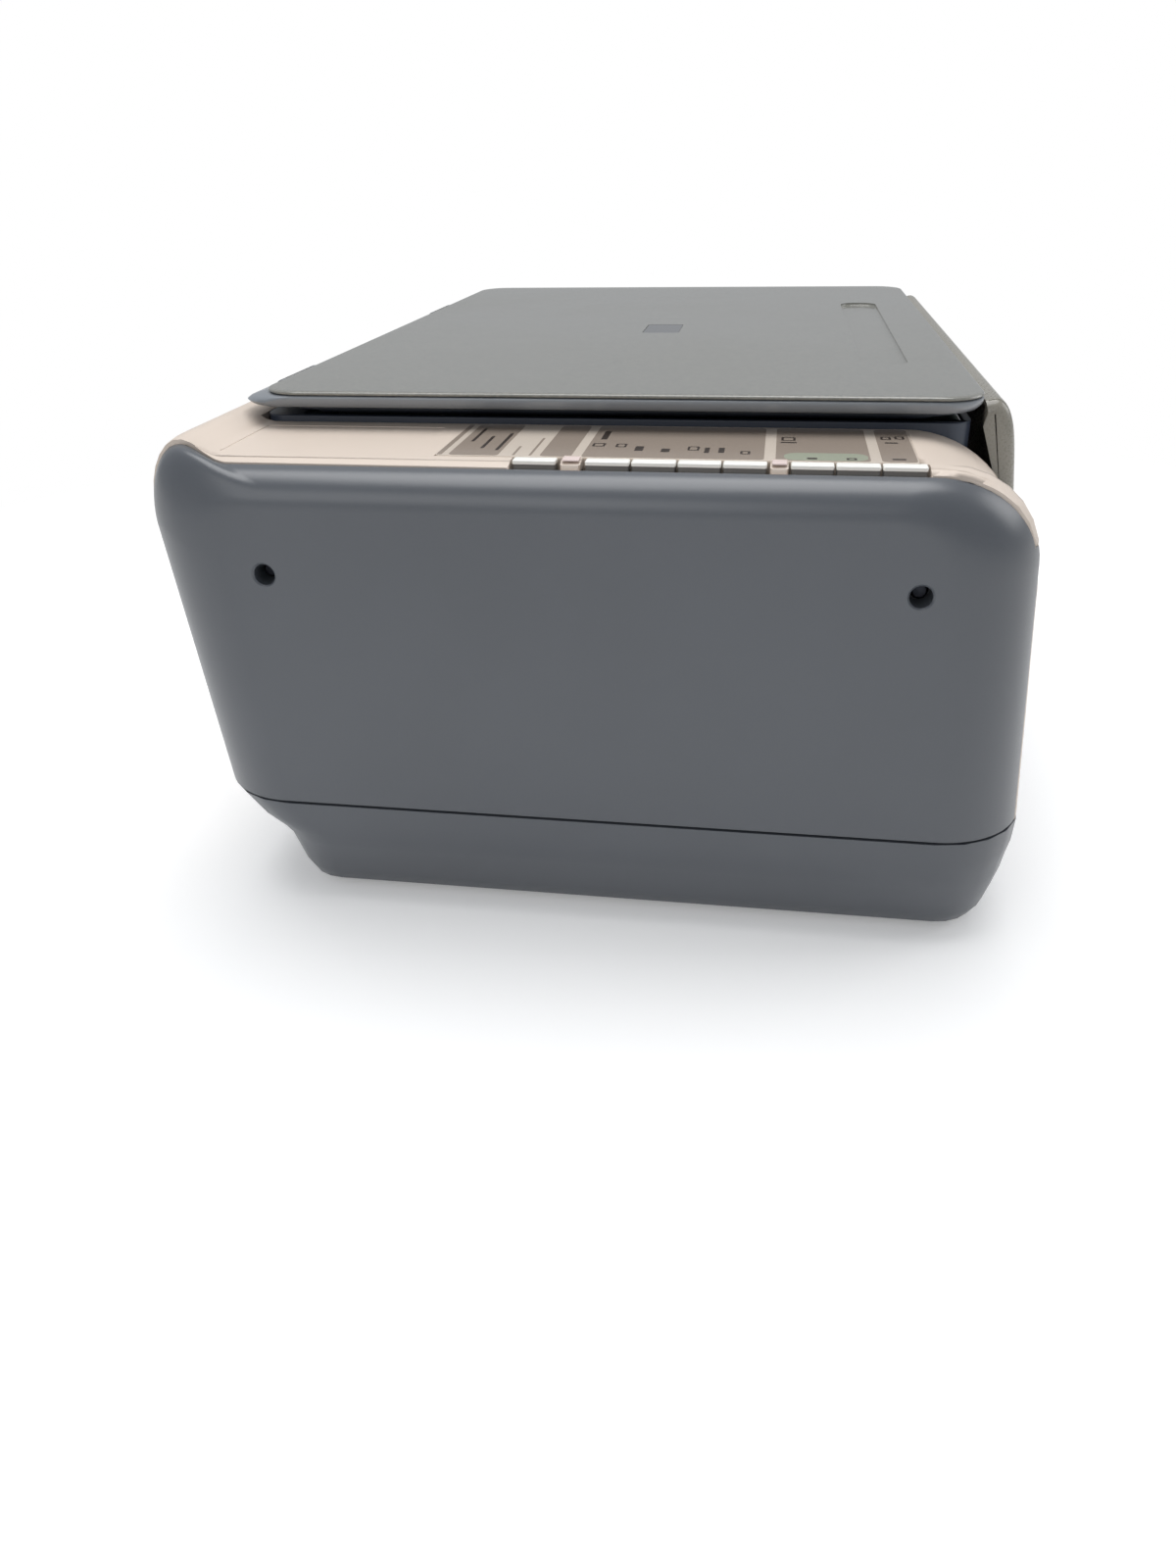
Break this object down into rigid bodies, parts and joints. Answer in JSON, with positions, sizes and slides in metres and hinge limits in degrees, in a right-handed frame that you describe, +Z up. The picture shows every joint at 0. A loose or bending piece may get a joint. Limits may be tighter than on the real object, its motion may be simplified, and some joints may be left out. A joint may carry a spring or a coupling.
{
  "type": "all-in-one inkjet printer",
  "caption": "Tabletop inkjet printer with a flatbed scanner on top: lifting lid, control keys on the left end, drop-down cartridge cover and folding paper tray at the front.",
  "frame": {"origin": "middle of the footprint on the table, under the centre of the bounding box", "axes": "+X to the user's right, +Y to the back of the machine, +Z up"},
  "size_m": [0.442, 0.2881, 0.17],
  "materials": {
    "case_blue_grey": "fine moulded texture, satin",
    "case_white": "smooth warm white, satin",
    "bed_navy": "dark blue-grey, satin",
    "platen_glass": "clear float glass",
    "overlay_film": "printed gloss film with off-white fields",
    "circuit_board": "solder-masked laminate",
    "dark_plastic": "moulded black plastic",
    "plated_steel": "zinc-plated sheet",
    "ground_steel": "ground and polished rod",
    "foot_rubber": "soft moulded rubber",
    "belt_rubber": "toothed belt",
    "roller_rubber": "ground rubber on a steel shaft",
    "lid_gloss_grey": "high-gloss grey",
    "cover_grey": "semi-gloss warm grey",
    "pad_white": "white foam-backed sheet",
    "key_white": "semi-gloss key tops",
    "ink_shell": "moulded cartridge shell",
    "natural_nylon": "natural nylon"
  },
  "bodies": {
    "chassis": {"lower_case": "case_blue_grey", "left_end_panel": "case_blue_grey", "right_end_panel": "case_blue_grey", "upper_case": "case_white", "scanner_bed": "bed_navy", "scanner_glass": "platen_glass", "control_overlay": "overlay_film", "control_board": "circuit_board", "mainboard": "circuit_board", "power_inlet": "dark_plastic", "usb_socket": "plated_steel", "foot_front_left": "foot_rubber", "foot_front_right": "foot_rubber", "foot_rear_left": "foot_rubber", "foot_rear_right": "foot_rubber", "screw_left_front": "plated_steel", "screw_left_rear": "plated_steel", "screw_right_front": "plated_steel", "screw_right_rear": "plated_steel", "side_frame_left": "plated_steel", "side_frame_right": "plated_steel", "guide_rod": "ground_steel", "rear_rail": "plated_steel", "platen": "dark_plastic", "paper_bed": "dark_plastic", "carriage_motor": "plated_steel", "feed_motor": "plated_steel", "carriage_belt": "belt_rubber", "scan_rod": "ground_steel"},
    "lid_hinges": {"hinge_left": "dark_plastic", "hinge_right": "dark_plastic"},
    "lid": {"lid_cover": "lid_gloss_grey", "lid_frame": "bed_navy", "lid_pad": "pad_white"},
    "front_cover": {"front_cover": "cover_grey"},
    "paper_tray": {"paper_tray": "case_blue_grey"},
    "tray_extender": {"tray_extender": "case_blue_grey"},
    "paper_guide": {"paper_guide": "case_blue_grey"},
    "rear_door": {"rear_door": "dark_plastic"},
    "key_1": {"key_1": "key_white"},
    "key_2": {"key_2": "key_white"},
    "key_3": {"key_3": "key_white"},
    "key_4": {"key_4": "key_white"},
    "key_5": {"key_5": "key_white"},
    "key_6": {"key_6": "key_white"},
    "key_7": {"key_7": "key_white"},
    "key_8": {"key_8": "key_white"},
    "print_carriage": {"print_carriage": "dark_plastic"},
    "cartridge_black": {"cartridge_black": "ink_shell"},
    "cartridge_color": {"cartridge_color": "ink_shell"},
    "carriage_pulley": {"carriage_pulley": "natural_nylon"},
    "idler_pulley": {"idler_pulley": "natural_nylon"},
    "scan_carriage": {"scan_carriage": "dark_plastic"},
    "feed_roller": {"feed_roller": "roller_rubber"},
    "transport_roller": {"transport_roller": "roller_rubber"},
    "exit_roller": {"exit_roller": "roller_rubber"},
    "drive_pinion": {"drive_pinion": "natural_nylon"},
    "idler_gear": {"idler_gear": "natural_nylon"},
    "service_sled": {"service_sled": "natural_nylon"}
  },
  "joints": [
    {"name": "lid_lift", "type": "slide", "parent": "chassis", "child": "lid_hinges", "axis": [0, 0, 1], "range_m": [0, 0.012]},
    {"name": "lid_open", "type": "hinge", "parent": "lid_hinges", "child": "lid", "pos_m": [0, 0.1305, 0.1628], "axis": [-1, 0, 0], "range_deg": [0, 85]},
    {"name": "cover_open", "type": "hinge", "parent": "chassis", "child": "front_cover", "pos_m": [0, -0.1363, 0.0978], "axis": [1, 0, 0], "range_deg": [0, 80]},
    {"name": "tray_open", "type": "hinge", "parent": "chassis", "child": "paper_tray", "pos_m": [0, -0.1295, 0.017], "axis": [1, 0, 0], "range_deg": [0, 85]},
    {"name": "extender_slide", "type": "slide", "parent": "paper_tray", "child": "tray_extender", "axis": [0, 0, 1], "range_m": [0, 0.045]},
    {"name": "guide_slide", "type": "slide", "parent": "paper_tray", "child": "paper_guide", "axis": [1, 0, 0], "range_m": [0, 0.085]},
    {"name": "rear_door_pull", "type": "slide", "parent": "chassis", "child": "rear_door", "axis": [0, 1, 0], "range_m": [0, 0.06]},
    {"name": "key_1_press", "type": "slide", "parent": "chassis", "child": "key_1", "axis": [0, 0, -1], "range_m": [0, 0.0008], "stiffness_N_per_m": 300, "springref_m": -0.0008},
    {"name": "key_2_press", "type": "slide", "parent": "chassis", "child": "key_2", "axis": [0, 0, -1], "range_m": [0, 0.0008], "stiffness_N_per_m": 300, "springref_m": -0.0008},
    {"name": "key_3_press", "type": "slide", "parent": "chassis", "child": "key_3", "axis": [0, 0, -1], "range_m": [0, 0.0008], "stiffness_N_per_m": 300, "springref_m": -0.0008},
    {"name": "key_4_press", "type": "slide", "parent": "chassis", "child": "key_4", "axis": [0, 0, -1], "range_m": [0, 0.0008], "stiffness_N_per_m": 300, "springref_m": -0.0008},
    {"name": "key_5_press", "type": "slide", "parent": "chassis", "child": "key_5", "axis": [0, 0, -1], "range_m": [0, 0.0008], "stiffness_N_per_m": 300, "springref_m": -0.0008},
    {"name": "key_6_press", "type": "slide", "parent": "chassis", "child": "key_6", "axis": [0, 0, -1], "range_m": [0, 0.0008], "stiffness_N_per_m": 300, "springref_m": -0.0008},
    {"name": "key_7_press", "type": "slide", "parent": "chassis", "child": "key_7", "axis": [0, 0, -1], "range_m": [0, 0.0008], "stiffness_N_per_m": 300, "springref_m": -0.0008},
    {"name": "key_8_press", "type": "slide", "parent": "chassis", "child": "key_8", "axis": [0, 0, -1], "range_m": [0, 0.0008], "stiffness_N_per_m": 300, "springref_m": -0.0008},
    {"name": "carriage_slide", "type": "slide", "parent": "chassis", "child": "print_carriage", "axis": [1, 0, 0], "range_m": [-0.226, 0]},
    {"name": "cartridge_black_out", "type": "slide", "parent": "print_carriage", "child": "cartridge_black", "axis": [0, -1, 0], "range_m": [0, 0.045]},
    {"name": "cartridge_color_out", "type": "slide", "parent": "print_carriage", "child": "cartridge_color", "axis": [0, -1, 0], "range_m": [0, 0.045]},
    {"name": "carriage_pulley_spin", "type": "hinge", "parent": "chassis", "child": "carriage_pulley", "pos_m": [-0.128, 0.0538, 0.109], "axis": [0, 1, 0], "continuous": true},
    {"name": "idler_pulley_spin", "type": "hinge", "parent": "chassis", "child": "idler_pulley", "pos_m": [0.138, 0.0538, 0.109], "axis": [0, 1, 0], "continuous": true},
    {"name": "scan_slide", "type": "slide", "parent": "chassis", "child": "scan_carriage", "axis": [1, 0, 0], "range_m": [0, 0.268]},
    {"name": "feed_spin", "type": "hinge", "parent": "chassis", "child": "feed_roller", "pos_m": [0, 0.088, 0.05482], "axis": [1, 0, 0], "continuous": true},
    {"name": "transport_spin", "type": "hinge", "parent": "chassis", "child": "transport_roller", "pos_m": [0, 0.026, 0.066], "axis": [1, 0, 0], "continuous": true},
    {"name": "exit_spin", "type": "hinge", "parent": "chassis", "child": "exit_roller", "pos_m": [0, -0.019, 0.066], "axis": [1, 0, 0], "continuous": true},
    {"name": "pinion_spin", "type": "hinge", "parent": "chassis", "child": "drive_pinion", "pos_m": [0, 0.0511, 0.06147], "axis": [1, 0, 0], "continuous": true},
    {"name": "idler_spin", "type": "hinge", "parent": "chassis", "child": "idler_gear", "pos_m": [0, 0.0035, 0.066], "axis": [1, 0, 0], "continuous": true},
    {"name": "sled_slide", "type": "slide", "parent": "chassis", "child": "service_sled", "axis": [1, 0, 0], "range_m": [0, 0.006]}
  ],
  "couplings": [
    {"joint": "carriage_pulley_spin", "follows": "carriage_slide", "rad_per_m": -173.91},
    {"joint": "idler_pulley_spin", "follows": "carriage_slide", "rad_per_m": -173.91},
    {"joint": "pinion_spin", "follows": "feed_spin", "ratio": -1.7778},
    {"joint": "transport_spin", "follows": "feed_spin", "ratio": 2},
    {"joint": "idler_spin", "follows": "feed_spin", "ratio": -2.2857},
    {"joint": "exit_spin", "follows": "feed_spin", "ratio": 2}
  ]
}
